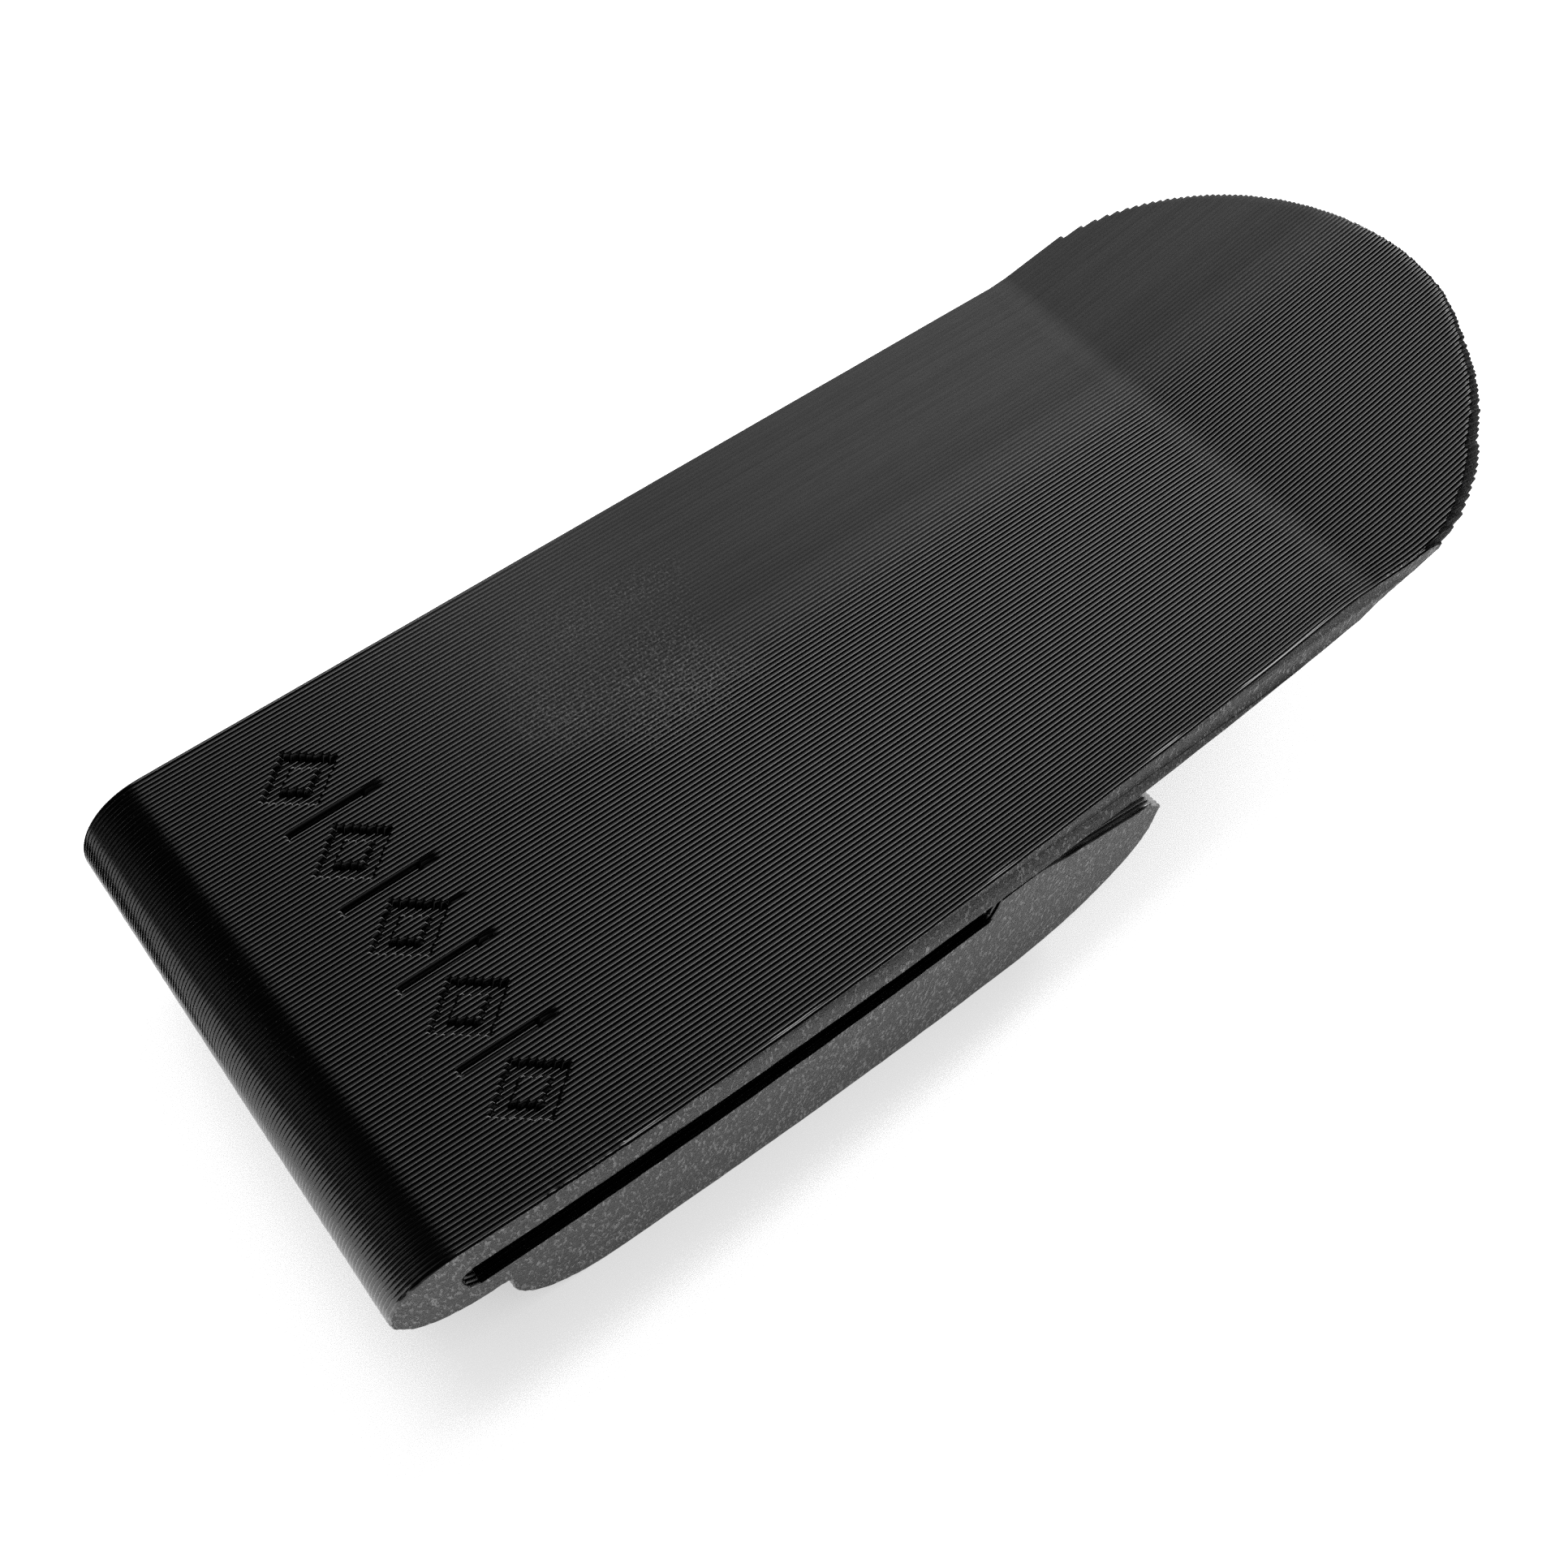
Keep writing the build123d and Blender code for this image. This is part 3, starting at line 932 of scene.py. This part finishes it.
# %% World
CEILING_LEFT_EDGE = (-0.17, -0.07)          # each edge is a soft step in a direction's x, y or z
CEILING_BRIGHTENS = (-0.05, 0.4)
CEILING_NEAR_EDGE = (0.07, 0.2)
CEILING_FAR_EDGE = (0.28, 0.4)
CEILING_LIGHT, CEILING_FAR_LOSS = 11.5, 0.9
LOW_LIGHT, NEAR_LIGHT, LEFT_LIGHT, CORNER_LIGHT = 0.06, 0.35, 0.12, 0.12
FAINT_LIGHT = 0.001
LOW_WALLS_TOP = (0.2, 0.45)
NEAR_WALL_EDGE = (0.2, 0.5)
LEFT_WALL_TOP, LEFT_WALL_EDGE = (0.05, 0.25), (0.1, 0.4)
CORNER_LEFT, CORNER_NEAR, CORNER_TOP = (0.1, 0.3), (0.2, 0.4), (0.4, 0.6)
DARK_LEFT, DARK_FROM, DARK_TO = (0.05, 0.2), (0.1, 0.3), (0.5, 0.65)
world = bpy.data.worlds.new("studio")
bpy.context.scene.world = world
paint = Paint(world)
direction = paint.node("ShaderNodeTexCoord", output=0)
right = paint.node("ShaderNodeSeparateXYZ", {}, {0: direction}, output=0)
far = paint.node("ShaderNodeSeparateXYZ", {}, {0: direction}, output=1)
upward = paint.node("ShaderNodeSeparateXYZ", {}, {0: direction}, output=2)
left = 0 - right
near = 0 - far
from_left = paint.smooth(right, *CEILING_LEFT_EDGE)
from_left = from_left * (0.5 + 0.5 * paint.smooth(right, *CEILING_BRIGHTENS))
to_far = 1 - CEILING_FAR_LOSS * paint.smooth(far, *CEILING_FAR_EDGE)
ceiling = from_left * paint.smooth(far, *CEILING_NEAR_EDGE) * to_far
low_walls = 1 - paint.smooth(upward, *LOW_WALLS_TOP)
near_wall = low_walls * paint.smooth(near, *NEAR_WALL_EDGE)
left_wall = (1 - paint.smooth(upward, *LEFT_WALL_TOP)) * paint.smooth(left, *LEFT_WALL_EDGE)
near_corner = paint.smooth(left, *CORNER_LEFT) * paint.smooth(near, *CORNER_NEAR)
near_corner = near_corner * (1 - paint.smooth(upward, *CORNER_TOP))
dark_corner = paint.smooth(left, *DARK_LEFT) * paint.smooth(far, *DARK_FROM)
dark_corner = dark_corner * (1 - paint.smooth(far, *DARK_TO))
walls = low_walls * LOW_LIGHT + near_wall * NEAR_LIGHT
walls = walls + left_wall * LEFT_LIGHT + near_corner * CORNER_LIGHT
light = ceiling * CEILING_LIGHT + walls * (1 - dark_corner) + FAINT_LIGHT
print("world light from", len(paint.tree.nodes), "nodes")

# %% [markdown]
# The camera itself should see a plain pale backdrop, not this ceiling. A Light Path node
# tells the camera's own rays apart, and a Mix Shader gives each kind of ray its world.

# %% Backdrop and fill lamp
FILL_SIZE = 0.9
FILL_POWER = 2.4
FILL_PLACE = (0.05, 0.05, 0.7)
studio = paint.node("ShaderNodeBackground", {}, {"Color": (1, 1, 1, 1), "Strength": light})
backdrop = paint.node("ShaderNodeBackground", {},
                      {"Color": (0.92, 0.92, 0.92, 1), "Strength": 1.0})
seen = paint.node("ShaderNodeLightPath", output=0)
either = paint.node("ShaderNodeMixShader", {}, {0: seen, 1: studio, 2: backdrop})
paint.node("ShaderNodeOutputWorld", {}, {"Surface": either})
fill_data = bpy.data.lights.new("floor_fill", "AREA")
fill_data.shape = "DISK"
fill_data.size = FILL_SIZE
fill_data.energy = FILL_POWER
fill = bpy.data.objects.new("floor_fill", fill_data)
fill.visible_glossy = False
fill.location = FILL_PLACE
bpy.context.scene.collection.objects.link(fill)
print("fill lamp of", FILL_POWER, "W, seen by no reflection")

# %% [markdown]
# A photographer darkens the edge of a shiny thing with a black card. Ours lies on the floor
# beside the bend, and only reflections see it.

# %% Black card
CARD_CORNERS = [(-0.041, 0.0), (-0.041, 0.2), (-0.3, 0.3), (-0.3, 0.07)]
card_mesh = bpy.data.meshes.new("black_card")
card_mesh.from_pydata([(x, y, MM) for x, y in CARD_CORNERS], [], [(0, 1, 2, 3)])
card = bpy.data.objects.new("black_card", card_mesh)
bpy.context.scene.collection.objects.link(card)
paint = Paint(bpy.data.materials.new("black_card"))
nap = paint.node("ShaderNodeTexNoise", {}, {"Scale": 200.0})
card_surface = paint.node("ShaderNodeBsdfPrincipled", {}, {
    "Base Color": paint.blend(nap, (0.001, 0.001, 0.001, 1), (0.002, 0.002, 0.002, 1)),
    "Specular IOR Level": 0.0,
})
paint.node("ShaderNodeOutputMaterial", {}, {"Surface": card_surface})
card_mesh.materials.append(bpy.data.materials["black_card"])
card.visible_camera = False
card.visible_diffuse = False
card.visible_shadow = False
print("card has", len(CARD_CORNERS), "corners")

# %% [markdown]
# ## Camera
# The camera looks steeply down along the clip from above its bend, with a fairly wide lens
# held close, which is why the near end looks so much larger than the tip.

# %% Camera
AIM = Vector((-8.915, -3.537, PLATE_TOP)) * MM
DISTANCE = 61.302 * MM
TURN = math.radians(-42.144)
LOOK_DOWN = math.radians(59.93)
ROLL = math.radians(3.811)
LENS = 35.207
SENSOR = 36.0
level = math.cos(LOOK_DOWN)
back_off = Vector((math.sin(TURN) * level, -math.cos(TURN) * level, math.sin(LOOK_DOWN)))
camera_data = bpy.data.cameras.new("camera")
camera_data.lens = LENS
camera_data.sensor_width = SENSOR
camera_data.clip_start = MM
camera = bpy.data.objects.new("camera", camera_data)
camera.matrix_world = (Matrix.Translation(AIM + back_off * DISTANCE)
                       @ back_off.to_track_quat("Z", "Y").to_matrix().to_4x4()
                       @ Matrix.Rotation(ROLL, 4, "Z"))
bpy.context.scene.collection.objects.link(camera)
bpy.context.scene.camera = camera
bpy.context.scene.view_settings.view_transform = "Standard"
bpy.context.scene.cycles.use_denoising = False      # it would smooth the fine ridges away
print("camera at", [round(v / MM, 3) for v in camera.matrix_world.translation])
